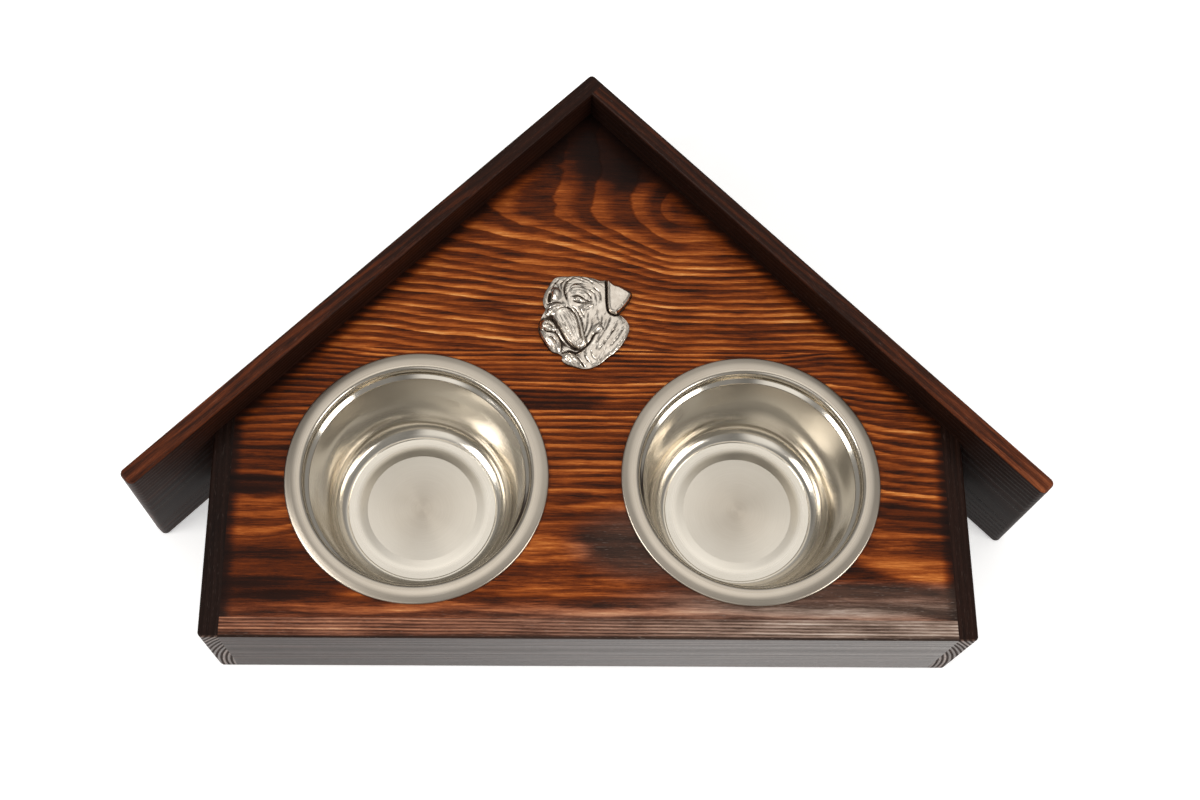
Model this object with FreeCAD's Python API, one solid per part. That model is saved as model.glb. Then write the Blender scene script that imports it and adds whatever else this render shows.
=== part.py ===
"""Wooden dog bowl stand in the shape of a house, with two steel bowls that hang in its top.

Millimetres. +X runs along the front, +Y from the front to the ridge, +Z up.
The origin is the middle of the footprint box, on the surface that the stand rests on.
"""
import FreeCAD
import Part
import math
import os

# Boards
wall_thickness = 12.0
roof_thickness = 11.0
panel_thickness = 18.0
wall_height = 80.0
roof_rise = 24.5
roof_length = 394.5
roof_slope = 45.0
pad_thickness = 2.0

# The stand is laid out round the bowls: gaps between the rims and what surrounds them
rim_gap = 43.8
bowl_shift = -4.3
front_gap = 19.7
side_gap = 36.1
roof_gap = 25.4
hole_joint_gap = 13.3

# Sanded edges
ridge_radius = 3.0
roof_end_radius = 3.5
roof_edge_radius = 2.0
corner_radius = 3.0
wall_edge_radius = 1.5
hole_edge_radius = 1.0

# Bowls, with heights and depths from the top of the panel
rim_radius = 80.0
flange_width = 11.6
bead_step = 2.8
foot_radius = 47.4
channel_outer_width = 6.0
channel_inner_width = 6.4
sheet = 0.8
rim_edge_height = 1.6
lip_height = 3.0
neck_depth = 4.2
bead_depth = 6.4
bowl_depth = 67.0
belly_height = 4.4
wall_draft = 9.0
floor_rise = 1.4
foot_rise = 0.6
rim_bend = 1.3
lip_bend = 2.4
neck_bend = 1.2
belly_bend = 17.0
foot_bend = 1.2
channel_bend = 16.0
floor_bend = 1.2
bowl_clearance = 1.8

# Dowels
dowel_diameter = 6.0
dowel_length = 28.0
dowel_seat = 7.5
dowel_chamfer = 0.8
dowel_play = 0.05
dowel_end_play = 0.5
side_dowel_count = 2
roof_dowel_count = 4
front_dowel_inset = 28.0
corner_dowel_count = 2
ridge_dowel_count = 3

# Pads
pad_diameter = 9.0
pad_inset = 24.0

# Emblem, in its own plane: u to the right, v to the back
emblem_x = -3.5
emblem_joint_gap = 18.5
emblem_plate = 2.4
emblem_edge_radius = 0.8
emblem_pin_diameter = 3.0
emblem_pin_length = 6.0
emblem_pin_spacing = 18.0
emblem_pin_rise = 8.0
emblem_outline = [
    (-15.5, 27.5), (-5.0, 30.0), (7.0, 28.5), (15.5, 22.0), (20.0, 10.0), (26.0, -2.0), (26.5, -12.0),
    (20.5, -22.0), (9.5, -29.0), (0.0, -31.0), (-8.0, -27.5), (-17.0, -25.0), (-26.0, -17.0),
    (-29.0, -7.0), (-28.0, 2.5), (-25.5, 10.0), (-26.0, 17.5), (-22.5, 24.0),
]
# Swellings of the head: centre u, v, then half length, half breadth, height and turn in degrees
emblem_swellings = [
    ("skull", -4.0, 15.0, 19.0, 13.0, 4.6, 4.0),
    ("cheek", 8.0, -3.0, 12.5, 17.0, 4.4, 18.0),
    ("bridge of the muzzle", -17.0, 5.5, 9.0, 6.5, 6.2, 62.0),
    ("near upper lip", -9.5, -10.0, 14.0, 8.0, 6.6, -58.0),
    ("far upper lip", -22.0, -10.5, 10.5, 5.5, 5.2, -74.0),
    ("nose", -22.5, -1.5, 5.2, 4.2, 7.6, 20.0),
    ("chin", -11.5, -21.0, 7.0, 4.0, 3.8, -14.0),
    ("near brow", -3.5, 15.5, 7.5, 3.0, 6.0, -22.0),
    ("far brow", -20.5, 16.5, 4.4, 2.8, 5.2, 30.0),
    ("near eye", -5.5, 10.5, 3.0, 2.0, 5.8, -18.0),
    ("neck fold", 13.5, -17.0, 11.0, 3.8, 4.2, 52.0),
]
# Ear flap that hangs beside the skull: its corners, their rounding and its thickness
ear_outline = [(9.5, 28.0), (28.5, 19.5), (20.0, 4.5), (12.5, 9.5)]
ear_corner_radius = 3.0
ear_thickness = 6.2
ear_edge_radius = 1.4

# Sizes and places worked out from the driving dimensions
slope = math.radians(roof_slope)
neck_radius = rim_radius - flange_width
wall_top_radius = neck_radius - bead_step
channel_radius = foot_radius - channel_outer_width
plateau_radius = channel_radius - channel_inner_width
hole_radius = neck_radius + sheet + bowl_clearance
bowl_spacing = 2 * rim_radius + rim_gap
base_width = bowl_spacing + 2 * (rim_radius + side_gap + wall_thickness)
half_base = base_width / 2
inner_half = half_base - wall_thickness
bowl_from_front = front_gap + rim_radius
outer_bowl_x = bowl_spacing / 2 + abs(bowl_shift)
rim_to_ridge = outer_bowl_x * math.tan(slope) + (rim_radius + roof_gap) / math.cos(slope)
inner_ridge_from_front = bowl_from_front + rim_to_ridge
ridge_depth = inner_ridge_from_front + roof_thickness / math.cos(slope)
ridge_setback = ridge_radius * (1 / math.cos(slope) - 1)
front_y = -(ridge_depth - ridge_setback) / 2
ridge_y = front_y + ridge_depth
inner_ridge_y = front_y + inner_ridge_from_front
panel_front_y = front_y + wall_thickness
roof_height = wall_height + roof_rise
wall_top = pad_thickness + wall_height
panel_bottom = wall_top - panel_thickness
panel_middle = wall_top - panel_thickness / 2
bowl_y = front_y + bowl_from_front
joint_y = bowl_y + hole_radius + hole_joint_gap
bowl_places = {
    "left": FreeCAD.Vector(bowl_shift - bowl_spacing / 2, bowl_y, wall_top),
    "right": FreeCAD.Vector(bowl_shift + bowl_spacing / 2, bowl_y, wall_top),
}
emblem_place = FreeCAD.Vector(emblem_x, joint_y + emblem_joint_gap, wall_top)
up = FreeCAD.Vector(0, 0, 1)
# Size of the cutting blocks, well past the stand, and how near counts as on a face
reach = 2 * (base_width + ridge_depth)
touch = 0.01
# Largest share of a straight run that the arcs at its ends may take
run_share = 0.98


def roof_line(side):
    """Direction down one roof line in plan, and the direction from it into the house."""
    along = FreeCAD.Vector(side * math.cos(slope), -math.sin(slope), 0)
    inward = FreeCAD.Vector(-side * math.sin(slope), -math.cos(slope), 0)
    return along, inward


def inner_roof_y(x):
    """Depth of the roof boards' inner faces at a distance from the middle."""
    return inner_ridge_y - abs(x) * math.tan(slope)


def rounded_path(points, radii, closed):
    """Straight runs through the points, with tangent arcs at the corners.

    Where the arcs at both ends of a run are too large for it, they share it as they would need it.
    """
    count = len(points)
    bends = range(count) if closed else range(1, count - 1)
    angles = {}
    backs = {}
    for i in bends:
        angles[i] = (points[i - 1] - points[i]).getAngle(points[(i + 1) % count] - points[i]) / 2
        backs[i] = radii[i] / math.tan(angles[i])
    cut = {}
    for i in bends:
        if radii[i] <= 0:
            continue
        back = backs[i]
        for neighbour in (i - 1, (i + 1) % count):
            run = (points[neighbour] - points[i]).Length
            needed = backs[i] + backs.get(neighbour % count, 0)
            back = min(back, backs[i] * run_share * run / needed)
        before = (points[i - 1] - points[i]).normalize()
        after = (points[(i + 1) % count] - points[i]).normalize()
        radius = back * math.tan(angles[i])
        middle = (before + after).normalize() * (radius / math.sin(angles[i]) - radius)
        cut[i] = (points[i] + before * back, points[i] + middle, points[i] + after * back)
    edges = []
    for i in range(count if closed else count - 1):
        following = (i + 1) % count
        start = cut[i][2] if i in cut else points[i]
        end = cut[following][0] if following in cut else points[following]
        edges.append(Part.LineSegment(start, end).toShape())
        if following in cut:
            edges.append(Part.Arc(*cut[following]).toShape())
    return Part.Wire(edges)


def prism(points, radii, bottom, height):
    """Upright solid on a plan outline with rounded corners."""
    base = [FreeCAD.Vector(p.x, p.y, bottom) for p in points]
    return Part.Face(rounded_path(base, radii, True)).extrude(up * height)


def plain_prism(points, bottom, height):
    """Upright solid on a plan outline with sharp corners."""
    return prism(points, [0] * len(points), bottom, height)


def side_slab(side):
    """Everything beside the stand from the inner face of a side board outwards."""
    near = side * inner_half
    far = side * reach
    corners = [(near, -reach), (far, -reach), (far, reach), (near, reach)]
    return plain_prism([FreeCAD.Vector(x, y, 0) for x, y in corners], -reach, 2 * reach)


def roof_boards():
    """The two boards of the roof, sanded as one and parted at the butt joint on the left board."""
    ridge = FreeCAD.Vector(0, ridge_y, 0)
    inner_ridge = FreeCAD.Vector(0, inner_ridge_y, 0)
    left_along, left_in = roof_line(-1)
    right_along, right_in = roof_line(1)
    left_end = ridge + left_along * roof_length
    right_end = ridge + right_along * roof_length
    outline = [
        ridge, left_end, left_end + left_in * roof_thickness,
        inner_ridge, right_end + right_in * roof_thickness, right_end,
    ]
    radii = [ridge_radius, roof_end_radius, roof_end_radius, 0, roof_end_radius, roof_end_radius]
    roof = prism(outline, radii, pad_thickness, roof_height)
    top = pad_thickness + roof_height
    rims = [edge for edge in roof.Edges if edge.BoundBox.ZMin > top - touch]
    roof = roof.makeFillet(roof_edge_radius, rims)
    start = ridge - left_along * reach
    end = ridge + left_along * reach
    strip = [start, end, end + left_in * roof_thickness, start + left_in * roof_thickness]
    slab = plain_prism(strip, -reach, 2 * reach)
    return roof.common(slab), roof.cut(slab)


def wall_boards():
    """Left side, front and right side boards, sanded as one and parted at the side boards' inner faces."""
    outline = [
        FreeCAD.Vector(-half_base, inner_roof_y(half_base), 0),
        FreeCAD.Vector(-half_base, front_y, 0),
        FreeCAD.Vector(half_base, front_y, 0),
        FreeCAD.Vector(half_base, inner_roof_y(half_base), 0),
        FreeCAD.Vector(inner_half, inner_roof_y(inner_half), 0),
        FreeCAD.Vector(inner_half, panel_front_y, 0),
        FreeCAD.Vector(-inner_half, panel_front_y, 0),
        FreeCAD.Vector(-inner_half, inner_roof_y(inner_half), 0),
    ]
    radii = [0, corner_radius, corner_radius, 0, 0, 0, 0, 0]
    walls = prism(outline, radii, pad_thickness, wall_height)
    rims = []
    for edge in walls.Edges:
        middle = edge.CenterOfMass
        level = edge.BoundBox.ZLength < touch
        outside = abs(middle.x) > half_base - touch or middle.y < front_y + corner_radius + touch
        if level and outside:
            rims.append(edge)
    walls = walls.makeFillet(wall_edge_radius, rims)
    left_slab = side_slab(-1)
    right_slab = side_slab(1)
    return walls.common(left_slab), walls.cut(left_slab).cut(right_slab), walls.common(right_slab)


def panel_planks():
    """Front and rear planks of the panel, flush with the walls, with the two bowl holes."""
    corner_y = inner_roof_y(inner_half)
    outline = [
        FreeCAD.Vector(-inner_half, panel_front_y, 0),
        FreeCAD.Vector(inner_half, panel_front_y, 0),
        FreeCAD.Vector(inner_half, corner_y, 0),
        FreeCAD.Vector(0, inner_ridge_y, 0),
        FreeCAD.Vector(-inner_half, corner_y, 0),
    ]
    panel = plain_prism(outline, panel_bottom, panel_thickness)
    for place in bowl_places.values():
        below = FreeCAD.Vector(place.x, place.y, panel_bottom)
        panel = panel.cut(Part.makeCylinder(hole_radius, panel_thickness, below, up))
    rims = [edge for edge in panel.Edges if isinstance(edge.Curve, Part.Circle)]
    panel = panel.makeFillet(hole_edge_radius, rims)
    corners = [(-reach, joint_y), (reach, joint_y), (reach, reach), (-reach, reach)]
    back = plain_prism([FreeCAD.Vector(x, y, 0) for x, y in corners], -reach, 2 * reach)
    return panel.cut(back), panel.common(back)


def bowl(place):
    """Pressed bowl: one sheet from the raised floor over a channel, up the wall and out over the flange."""
    floor_z = -bowl_depth
    plateau_z = floor_z + floor_rise
    belly_z = floor_z + belly_height
    belly_radius = wall_top_radius - (-bead_depth - belly_z) * math.tan(math.radians(wall_draft))
    profile = [
        (0, plateau_z, 0),
        (plateau_radius, plateau_z, floor_bend),
        (channel_radius, floor_z, channel_bend),
        (foot_radius, floor_z + foot_rise, foot_bend),
        (belly_radius, belly_z, belly_bend),
        (wall_top_radius, -bead_depth, neck_bend),
        (neck_radius, -neck_depth, neck_bend),
        (neck_radius, lip_height, lip_bend),
        (rim_radius, rim_edge_height, rim_bend),
        (rim_radius, 0, 0),
    ]
    points = [FreeCAD.Vector(r, 0, z) for r, z, bend in profile]
    path = rounded_path(points, [bend for r, z, bend in profile], False)
    section = path.makeOffset2D(-sheet, 0, True, True)
    solid = section.revolve(FreeCAD.Vector(0, 0, 0), up, 360)
    solid.translate(place)
    return solid


def dowel(middle, direction):
    """Chamfered dowel whose seat end lies behind the joint face."""
    start = middle - direction * dowel_seat
    pin = Part.makeCylinder(dowel_diameter / 2, dowel_length, start, direction)
    ends = [edge for edge in pin.Edges if isinstance(edge.Curve, Part.Circle)]
    return pin.makeChamfer(dowel_chamfer, ends)


def dowel_hole(middle, direction):
    """Drilled hole for a dowel, a little wider and deeper than the dowel at both ends."""
    start = middle - direction * (dowel_seat + dowel_end_play)
    length = dowel_length + 2 * dowel_end_play
    return Part.makeCylinder(dowel_diameter / 2 + dowel_play, length, start, direction)


def spread(count):
    """Evenly spaced shares of a length, half a space in from its ends."""
    return [(i + 0.5) / count for i in range(count)]


def dowel_places():
    """For each group of dowels, the points on the joint faces and the direction of drilling."""
    places = {}
    back = FreeCAD.Vector(0, 1, 0)
    front_x = [front_dowel_inset - inner_half, bowl_shift, inner_half - front_dowel_inset]
    places["front_panel_dowels"] = [(FreeCAD.Vector(x, panel_front_y, panel_middle), back) for x in front_x]
    side_run = inner_roof_y(inner_half) - panel_front_y
    for name, side in (("left", -1), ("right", 1)):
        inward = FreeCAD.Vector(-side, 0, 0)
        group = []
        for share in spread(side_dowel_count):
            y = panel_front_y + share * side_run
            group.append((FreeCAD.Vector(side * inner_half, y, panel_middle), inward))
        places[name + "_side_panel_dowels"] = group
        group = []
        for share in spread(corner_dowel_count):
            z = pad_thickness + share * wall_height
            group.append((FreeCAD.Vector(side * inner_half, front_y + wall_thickness / 2, z), inward))
        places[name + "_corner_dowels"] = group
        along, inward = roof_line(side)
        run = inner_half / math.cos(slope)
        group = []
        for share in spread(roof_dowel_count):
            place = FreeCAD.Vector(0, inner_ridge_y, panel_middle) + along * (share * run)
            group.append((place, inward))
        places[name + "_roof_panel_dowels"] = group
    left_along, left_in = roof_line(-1)
    # The right board's end covers this much of the left board's inner face
    covered = roof_thickness / math.sin(2 * slope)
    middle = FreeCAD.Vector(0, inner_ridge_y, 0) - left_along * (covered / 2)
    group = []
    for share in spread(ridge_dowel_count):
        group.append((middle + up * (pad_thickness + share * roof_height), left_in))
    places["ridge_dowels"] = group
    return places


def anti_slip_pads():
    """Round pads under the front corners, the roof ends and the ridge."""
    spots = []
    for side in (-1, 1):
        spots.append(FreeCAD.Vector(side * (inner_half - pad_inset), front_y + wall_thickness / 2, 0))
        along, inward = roof_line(side)
        line = FreeCAD.Vector(0, ridge_y, 0) + inward * (roof_thickness / 2)
        spots.append(line + along * (roof_length - pad_inset))
        spots.append(line + along * (roof_thickness + pad_inset))
    return [Part.makeCylinder(pad_diameter / 2, pad_thickness, spot, up) for spot in spots]


def emblem_pins():
    """Places of the two pins under the emblem."""
    offset = FreeCAD.Vector(emblem_pin_spacing / 2, 0, 0)
    rise = FreeCAD.Vector(0, emblem_pin_rise, 0)
    return [emblem_place + rise - offset, emblem_place + rise + offset]


def swelling(u, v, half_length, half_breadth, height, turn):
    """Half of an ellipsoid that rises from the middle of the emblem's plate."""
    ball = Part.makeSphere(1, FreeCAD.Vector(0, 0, 0), up, 0, 90, 360)
    shape = FreeCAD.Matrix()
    shape.scale(half_length, half_breadth, height)
    ball = ball.transformGeometry(shape)
    ball.rotate(FreeCAD.Vector(0, 0, 0), up, turn)
    ball.translate(FreeCAD.Vector(u, v, emblem_plate / 2))
    return ball


def softened(shape, top, radius):
    """A flat casting with the edge round its top face rounded."""
    return shape.makeFillet(radius, [edge for edge in shape.Edges if edge.BoundBox.ZMin > top - touch])


def dog_head_emblem():
    """Cast relief of a dog's head on a thin plate, with two pins cast on its back."""
    curve = Part.BSplineCurve()
    curve.interpolate([FreeCAD.Vector(u, v, 0) for u, v in emblem_outline], True)
    plate = Part.Face(Part.Wire(curve.toShape())).extrude(up * emblem_plate)
    head = softened(plate, emblem_plate, emblem_edge_radius)
    for name, *values in emblem_swellings:
        head = head.fuse(swelling(*values))
    corners = [FreeCAD.Vector(u, v, 0) for u, v in ear_outline]
    rounding = [ear_corner_radius] * len(corners)
    ear = prism(corners, rounding, emblem_plate / 2, ear_thickness - emblem_plate / 2)
    head = head.fuse(softened(ear, ear_thickness, ear_edge_radius))
    head.translate(emblem_place)
    for place in emblem_pins():
        root = place - up * emblem_pin_length
        pin_length = emblem_pin_length + emblem_plate / 4
        head = head.fuse(Part.makeCylinder(emblem_pin_diameter / 2, pin_length, root, up))
    return head


def drilled(shape, holes):
    """A board with its holes drilled, as one clean solid."""
    return shape.cut(holes).removeSplitter()


def build():
    """All pieces by name."""
    left_roof, right_roof = roof_boards()
    left_side, front, right_side = wall_boards()
    front_plank, rear_plank = panel_planks()
    groups = dowel_places()
    holes = []
    for group in groups.values():
        holes += [dowel_hole(middle, direction) for middle, direction in group]
    pin_radius = emblem_pin_diameter / 2 + dowel_play
    pin_depth = emblem_pin_length + dowel_end_play
    pin_holes = []
    for place in emblem_pins():
        pin_holes.append(Part.makeCylinder(pin_radius, pin_depth, place - up * pin_depth, up))
    pieces = {
        "left_roof_board": drilled(left_roof, holes),
        "right_roof_board": drilled(right_roof, holes),
        "left_side_board": drilled(left_side, holes),
        "right_side_board": drilled(right_side, holes),
        "front_board": drilled(front, holes),
        "panel_front_plank": drilled(front_plank, holes + pin_holes),
        "panel_rear_plank": drilled(rear_plank, holes + pin_holes),
        "left_bowl": bowl(bowl_places["left"]),
        "right_bowl": bowl(bowl_places["right"]),
        "dog_head_emblem": dog_head_emblem(),
        "anti_slip_pads": Part.makeCompound(anti_slip_pads()),
    }
    for name, group in groups.items():
        pieces[name] = Part.makeCompound([dowel(middle, direction) for middle, direction in group])
    return pieces


os.makedirs("parts", exist_ok=True)
for node, shape in build().items():
    if not shape.isValid():
        raise ValueError("not a valid solid: " + node)
    shape.exportStep("parts/" + node + ".step")
    print(node, len(shape.Solids), "solids", round(shape.Volume / 1000, 2), "cm3")
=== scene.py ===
"""Looks of the wooden dog bowl stand: stained pine, pressed steel bowls and a cast pewter relief."""
import math

import bpy
import numpy as np
from mathutils import Matrix, Vector


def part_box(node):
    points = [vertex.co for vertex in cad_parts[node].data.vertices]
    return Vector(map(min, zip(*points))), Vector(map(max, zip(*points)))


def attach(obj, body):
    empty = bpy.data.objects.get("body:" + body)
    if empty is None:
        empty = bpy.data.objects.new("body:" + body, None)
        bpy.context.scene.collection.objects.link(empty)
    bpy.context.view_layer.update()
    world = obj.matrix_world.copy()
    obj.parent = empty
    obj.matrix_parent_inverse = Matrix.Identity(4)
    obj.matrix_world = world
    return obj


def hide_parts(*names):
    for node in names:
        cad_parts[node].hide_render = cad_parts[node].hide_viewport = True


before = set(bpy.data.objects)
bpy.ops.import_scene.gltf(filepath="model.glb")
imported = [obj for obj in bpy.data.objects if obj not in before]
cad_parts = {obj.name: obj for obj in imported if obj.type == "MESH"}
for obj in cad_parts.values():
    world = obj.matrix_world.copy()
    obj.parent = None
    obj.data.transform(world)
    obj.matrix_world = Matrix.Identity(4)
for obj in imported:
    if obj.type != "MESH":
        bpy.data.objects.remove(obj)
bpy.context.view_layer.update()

MM = 0.001

# Places taken from the frame, in millimetres: the front face, the panel's top, glue line, ridge and half
# width, and the top of the roof boards
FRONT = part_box("front_board")[0].y / MM
PANEL_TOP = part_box("panel_front_plank")[1].z / MM
GLUE_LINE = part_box("panel_rear_plank")[0].y / MM - FRONT
INNER_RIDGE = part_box("panel_rear_plank")[1].y / MM - FRONT
PANEL_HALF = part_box("panel_front_plank")[1].x / MM
ROOF_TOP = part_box("left_roof_board")[1].z / MM

# Camera of the photograph, found from the corners of the stand
CAMERA_PLACE = (-46.31, FRONT - 206.85, PANEL_TOP + 925.19)
CAMERA_YAW = 8.20
CAMERA_PITCH = -68.69
CAMERA_ROLL = 8.40
FOCAL_PIXELS = 1599.16
PHOTO_WIDTH = 1200
SENSOR_WIDTH = 36.0


def srgb(red, green, blue):
    """Linear colour of a colour given as it looks on a screen, from 0 to 255."""
    def linear(value):
        share = value / 255
        return share / 12.92 if share <= 0.04045 else ((share + 0.055) / 1.055) ** 2.4
    return (linear(red), linear(green), linear(blue), 1.0)


class Field:
    """A number that a material works out at each point of a surface, with plain arithmetic."""

    def __init__(self, tree, socket):
        self.tree = tree
        self.socket = socket

    def __add__(self, other):
        return maths("ADD", self, other)

    def __sub__(self, other):
        return maths("SUBTRACT", self, other)

    def __rsub__(self, other):
        return maths("SUBTRACT", other, self)

    def __mul__(self, other):
        return maths("MULTIPLY", self, other)

    def __truediv__(self, other):
        return maths("DIVIDE", self, other)

    __radd__ = __add__
    __rmul__ = __mul__


def connect(tree, value, socket):
    """Gives a socket a field, another socket or a constant."""
    if isinstance(value, Field):
        tree.links.new(value.socket, socket)
    elif isinstance(value, bpy.types.NodeSocket):
        tree.links.new(value, socket)
    else:
        socket.default_value = value


def maths(operation, *values):
    """One step of arithmetic on fields and numbers."""
    tree = next(value.tree for value in values if isinstance(value, Field))
    node = tree.nodes.new("ShaderNodeMath")
    node.operation = operation
    for value, socket in zip(values, node.inputs):
        connect(tree, value, socket)
    return Field(tree, node.outputs[0])


def length(*fields):
    """Root of the sum of squares."""
    total = fields[0] * fields[0]
    for field in fields[1:]:
        total = total + field * field
    return maths("SQRT", total)


def rise(field, low, high):
    """Smooth step from 0 at low to 1 at high."""
    node = field.tree.nodes.new("ShaderNodeMapRange")
    node.interpolation_type = "SMOOTHSTEP"
    connect(field.tree, field, node.inputs["Value"])
    node.inputs["From Min"].default_value = min(low, high)
    node.inputs["From Max"].default_value = max(low, high)
    node.inputs["To Min"].default_value = 0.0 if low < high else 1.0
    node.inputs["To Max"].default_value = 1.0 if low < high else 0.0
    return Field(field.tree, node.outputs["Result"])


def patch(x, y, middle, half_size, soft=0.5):
    """Soft-edged ellipse: 1 in the middle, 0 outside."""
    reach = length((x - middle[0]) / half_size[0], (y - middle[1]) / half_size[1])
    return rise(reach, 1 + soft / 2, 1 - soft / 2)


def vector(x, y, z):
    """Vector socket from three fields."""
    node = x.tree.nodes.new("ShaderNodeCombineXYZ")
    for value, socket in zip((x, y, z), node.inputs):
        connect(x.tree, value, socket)
    return node.outputs[0]


def noise(x, y, z, detail=2.0, roughness=0.5):
    """Noise from 0 to 1 that repeats about once per unit of each coordinate."""
    node = x.tree.nodes.new("ShaderNodeTexNoise")
    x.tree.links.new(vector(x, y, z), node.inputs["Vector"])
    node.inputs["Scale"].default_value = 1.0
    node.inputs["Detail"].default_value = detail
    node.inputs["Roughness"].default_value = roughness
    return Field(x.tree, node.outputs["Fac"])


def chance(field):
    """A steady random number from 0 to 1 for each whole number."""
    node = field.tree.nodes.new("ShaderNodeTexWhiteNoise")
    node.noise_dimensions = "1D"
    connect(field.tree, maths("FLOOR", field), node.inputs["W"])
    return Field(field.tree, node.outputs["Value"])


def ramp(field, stops):
    """Colour socket that runs through the stops, each a place from 0 to 1 and a colour."""
    node = field.tree.nodes.new("ShaderNodeValToRGB")
    connect(field.tree, field, node.inputs["Fac"])
    elements = node.color_ramp.elements
    while len(elements) < len(stops):
        elements.new(0.5)
    for element, (place, colour) in zip(elements, stops):
        element.position = place
        element.color = colour
    return node.outputs["Color"]


def curve(field, stops):
    """Field that runs through the stops, each a place from 0 to 1 and a value."""
    grey = ramp(field, [(place, (value, value, value, 1.0)) for place, value in stops])
    return Field(field.tree, grey)


def mixed(first, second, share):
    """Colour socket between two colours."""
    node = share.tree.nodes.new("ShaderNodeMix")
    node.data_type = "RGBA"
    connect(share.tree, share, node.inputs[0])
    connect(share.tree, first, node.inputs[6])
    connect(share.tree, second, node.inputs[7])
    return node.outputs[2]


def new_material(name):
    """An empty node material, its shader and its points as fields in millimetres.

    x is measured from the middle, y from the front face and z from the floor.
    """
    material = bpy.data.materials.new(name)
    material.use_nodes = True
    tree = material.node_tree
    tree.nodes.clear()
    output = tree.nodes.new("ShaderNodeOutputMaterial")
    shader = tree.nodes.new("ShaderNodeBsdfPrincipled")
    tree.links.new(shader.outputs["BSDF"], output.inputs["Surface"])
    place = tree.nodes.new("ShaderNodeTexCoord")
    split = tree.nodes.new("ShaderNodeSeparateXYZ")
    tree.links.new(place.outputs["Object"], split.inputs[0])
    x, y, z = [Field(tree, socket) * (1 / MM) for socket in split.outputs]
    return material, shader, (x, y - FRONT, z)


def bump(shader, height, distance):
    """Gives the shader a surface relief, with the distance in millimetres for a height of 1."""
    tree = height.tree
    node = tree.nodes.new("ShaderNodeBump")
    node.inputs["Distance"].default_value = distance * MM
    connect(tree, height, node.inputs["Height"])
    tree.links.new(node.outputs["Normal"], shader.inputs["Normal"])


# Colours of the stained pine, from the charred late wood to the bright early wood
PINE_STOPS = [
    (0.00, srgb(9, 5, 4)),
    (0.20, srgb(42, 17, 7)),
    (0.42, srgb(100, 42, 10)),
    (0.64, srgb(154, 76, 27)),
    (0.85, srgb(202, 119, 54)),
    (1.00, srgb(230, 162, 94)),
]
# Greyer colours painted over the wood as a sheen of its lacquer
SHEEN_GREY_STOPS = [
    (0.00, srgb(36, 27, 24)),
    (0.35, srgb(84, 67, 58)),
    (0.70, srgb(152, 131, 118)),
    (1.00, srgb(200, 186, 175)),
]
# Light scratch streaks along the grain, drawn only where the painted sheen lies
SCUFF = srgb(150, 134, 126)
# One year's growth: dark early part, bright part with fairly crisp edges
RING_STOPS = [(0.0, 0.06), (0.30, 0.10), (0.46, 0.50), (0.62, 0.86), (0.90, 1.0), (1.0, 0.06)]
# The same, a little narrower and duller
DULL_STOPS = [(0.0, 0.10), (0.34, 0.14), (0.50, 0.50), (0.66, 0.84), (0.93, 0.96), (1.0, 0.10)]
# The same on end grain, half of it dark
END_STOPS = [(0.0, 0.0), (0.42, 0.02), (0.54, 0.80), (0.90, 1.0), (1.0, 0.0)]
# How much bare stained wood shines, and the thin lacquer that is on all of it
WOOD_SHINE = 0.07
THIN_LACQUER = 0.03


def pine(name, rings, grain, light, wear_and_sheen=None, figure=0.52, gloss=None, year=RING_STOPS, ragged=1.0):
    """Stained, brushed and lacquered pine.

    rings gives the count of year rings at a point, grain is the direction of the fibres in plan in
    degrees from x, light gives how bright the wood is there, about 0 to 1, the fifth argument how grey a
    painted sheen of the lacquer makes it and gloss how thick the lacquer, figure is or gives how strongly
    the year rings show, year the shades of one ring and ragged how much the fibres fray its edge.
    """
    material, shader, (x, y, z) = new_material(name)
    cosine = math.cos(math.radians(grain))
    sine = math.sin(math.radians(grain))
    along = x * cosine + y * sine
    across = y * cosine - x * sine
    fibre = noise(along / 10, across / 0.5, z / 0.5, 4.0, 0.7)
    thread = noise(along / 26, across / 1.1, z / 1.1, 3.0, 0.6)
    streak = noise(along / 70, across / 3.0, z / 3.0, 2.0)
    blotch = noise(along / 40, across / 12, z / 12, 3.0)
    grit = noise(along / 2.5, across / 0.25, z / 0.25, 2.0, 0.7)
    phase = rings(x, y, z) + ((fibre - 0.5) * 0.34 + (thread - 0.5) * 0.30) * ragged
    ring = curve(maths("FRACT", phase), year)
    own = (0.4 + 0.65 * chance(phase)) * (0.35 + 1.3 * streak)
    level = light(x, y, z)
    if callable(figure):
        figure = figure(x, y, z)
    tone = 0.45 + figure * (ring * own - 0.3)
    for mottle, weight in ((fibre, 0.55), (thread, 0.42), (streak, 0.3), (blotch, 0.48)):
        tone = tone + (mottle - 0.5) * weight
    tone = tone * level + (grit - 0.5) * 0.22
    colour = ramp(tone, PINE_STOPS)
    # The grey mix below is a painted sheen of the lacquer, with light scratch streaks along the grain where
    # it lies
    if wear_and_sheen:
        grey = wear_and_sheen(x, y, z)
        colour = mixed(colour, ramp(tone, SHEEN_GREY_STOPS), grey)
        scratch = noise(along / 5, across / 0.35, z / 0.35, 1.0)
        colour = mixed(colour, SCUFF, rise(scratch, 0.66, 0.76) * grey * 0.7)
    connect(phase.tree, colour, shader.inputs["Base Color"])
    connect(phase.tree, 0.34 + 0.22 * fibre, shader.inputs["Roughness"])
    shader.inputs["Specular IOR Level"].default_value = WOOD_SHINE
    shader.inputs["Coat Weight"].default_value = THIN_LACQUER
    if gloss:
        shine = 1 - figure * 0.95 * (1 - ring)
        lacquer = gloss(x, y, z) * (0.7 + 0.6 * thread) * shine
        connect(phase.tree, lacquer, shader.inputs["Coat Weight"])
        connect(phase.tree, WOOD_SHINE * shine, shader.inputs["Specular IOR Level"])
    shader.inputs["Coat Roughness"].default_value = 0.16
    bump(shader, fibre * 0.6 - ring * 0.7, 0.16)
    return material


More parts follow.
